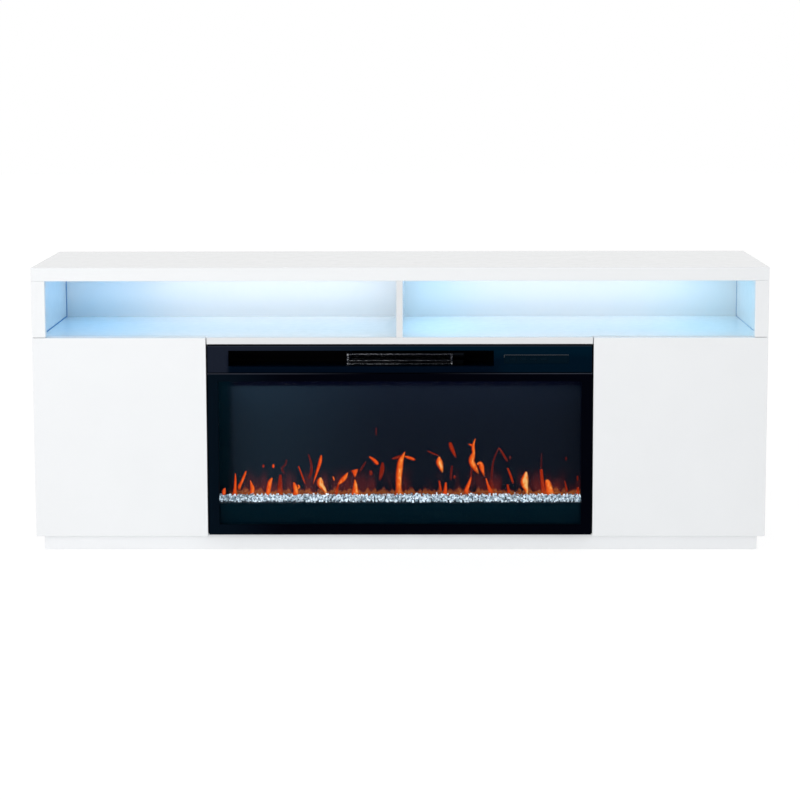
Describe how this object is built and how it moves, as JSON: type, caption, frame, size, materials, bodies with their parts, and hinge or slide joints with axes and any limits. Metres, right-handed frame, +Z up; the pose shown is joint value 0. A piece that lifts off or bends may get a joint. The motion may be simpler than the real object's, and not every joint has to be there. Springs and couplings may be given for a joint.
{
  "type": "fireplace tv stand",
  "caption": "Long white gloss media console with a lit open niche, push-open doors and an electric fireplace insert with crystal bed.",
  "frame": {"origin": "centre of the footprint, on the floor", "axes": "+X to the right along the width, +Y from the front to the back, +Z up"},
  "size_m": [1.727, 0.4, 0.677],
  "materials": {
    "gloss_white_board": "gloss white lacquer on board",
    "plain_white_board": "plain white foil on board",
    "black_steel": "satin black paint",
    "black_gloss": "gloss black paint",
    "clear_glass": "clear tempered glass",
    "flame_screen": "dark translucent screen",
    "crystal": "broken crystal, lit from below",
    "zinc_steel": "zinc plated",
    "aluminium": "mill finish",
    "grey_plastic": "moulded grey",
    "black_plastic": "moulded black",
    "led_diffuser": "lit cool blue"
  },
  "bodies": {
    "cabinet": {"top_board": "gloss_white_board", "niche_floor": "gloss_white_board", "niche_divider": "gloss_white_board", "centre_rail": "gloss_white_board", "plinth_front": "gloss_white_board", "bottom_board": "plain_white_board", "plinth_back": "plain_white_board", "back_panel_niche": "plain_white_board", "fascia": "black_steel", "glass_frame": "black_steel", "insert_case": "black_steel", "insert_back_cover": "black_steel", "heater_deck": "black_steel", "side_panel_left": "gloss_white_board", "front_stile_left": "gloss_white_board", "plinth_end_left": "gloss_white_board", "partition_left": "plain_white_board", "shelf_left": "plain_white_board", "back_panel_left": "plain_white_board", "led_strip_left": "led_diffuser", "shelf_wire_left_inner": "zinc_steel", "shelf_wire_left_outer": "zinc_steel", "hinge_arm_left_lower": "zinc_steel", "hinge_arm_left_upper": "zinc_steel", "latch_body_left": "grey_plastic", "side_panel_right": "gloss_white_board", "front_stile_right": "gloss_white_board", "plinth_end_right": "gloss_white_board", "partition_right": "plain_white_board", "shelf_right": "plain_white_board", "back_panel_right": "plain_white_board", "led_strip_right": "led_diffuser", "shelf_wire_right_inner": "zinc_steel", "shelf_wire_right_outer": "zinc_steel", "hinge_arm_right_lower": "zinc_steel", "hinge_arm_right_upper": "zinc_steel", "latch_body_right": "grey_plastic", "control_panel": "black_gloss", "ember_tray": "black_gloss", "cord_gland": "black_plastic", "front_glass": "clear_glass", "crystal_bed": "crystal", "flame_screen": "flame_screen", "heater_core": "aluminium", "blower_motor": "zinc_steel", "spindle_motor": "zinc_steel"},
    "door_left": {"door_left": "gloss_white_board", "hinge_cup_left_lower": "zinc_steel", "hinge_cup_left_upper": "zinc_steel"},
    "door_right": {"door_right": "gloss_white_board", "hinge_cup_right_lower": "zinc_steel", "hinge_cup_right_upper": "zinc_steel"},
    "plunger_left": {"latch_plunger_left": "grey_plastic"},
    "plunger_right": {"latch_plunger_right": "grey_plastic"},
    "blower": {"blower_rotor": "aluminium"},
    "spindle": {"flame_spindle": "aluminium"},
    "button_power": {"button_power": "black_plastic"},
    "button_flame": {"button_flame": "black_plastic"},
    "button_ember": {"button_ember": "black_plastic"},
    "button_heat": {"button_heat": "black_plastic"}
  },
  "joints": [
    {"name": "door_left_swing", "type": "hinge", "parent": "cabinet", "child": "door_left", "pos_m": [-0.8635, -0.2, 0.273], "axis": [0, 0, -1], "range_deg": [0, 95]},
    {"name": "latch_left_push", "type": "slide", "parent": "cabinet", "child": "plunger_left", "axis": [0, -1, 0], "range_m": [0, 0.015]},
    {"name": "door_right_swing", "type": "hinge", "parent": "cabinet", "child": "door_right", "pos_m": [0.8635, -0.2, 0.273], "axis": [0, 0, 1], "range_deg": [0, 95]},
    {"name": "latch_right_push", "type": "slide", "parent": "cabinet", "child": "plunger_right", "axis": [0, -1, 0], "range_m": [0, 0.015]},
    {"name": "button_power_press", "type": "slide", "parent": "cabinet", "child": "button_power", "axis": [0, 1, 0], "range_m": [0, 0.0008], "stiffness_N_per_m": 200},
    {"name": "button_flame_press", "type": "slide", "parent": "cabinet", "child": "button_flame", "axis": [0, 1, 0], "range_m": [0, 0.0008], "stiffness_N_per_m": 200},
    {"name": "button_ember_press", "type": "slide", "parent": "cabinet", "child": "button_ember", "axis": [0, 1, 0], "range_m": [0, 0.0008], "stiffness_N_per_m": 200},
    {"name": "button_heat_press", "type": "slide", "parent": "cabinet", "child": "button_heat", "axis": [0, 1, 0], "range_m": [0, 0.0008], "stiffness_N_per_m": 200},
    {"name": "blower_spin", "type": "hinge", "parent": "cabinet", "child": "blower", "pos_m": [0, -0.104, 0.4585], "axis": [1, 0, 0], "continuous": true},
    {"name": "spindle_spin", "type": "hinge", "parent": "cabinet", "child": "spindle", "pos_m": [0, -0.068, 0.0955], "axis": [1, 0, 0], "continuous": true}
  ],
  "couplings": [
    {"joint": "latch_left_push", "follows": "door_left_swing", "m_per_rad": 0.009},
    {"joint": "latch_right_push", "follows": "door_right_swing", "m_per_rad": 0.009}
  ]
}
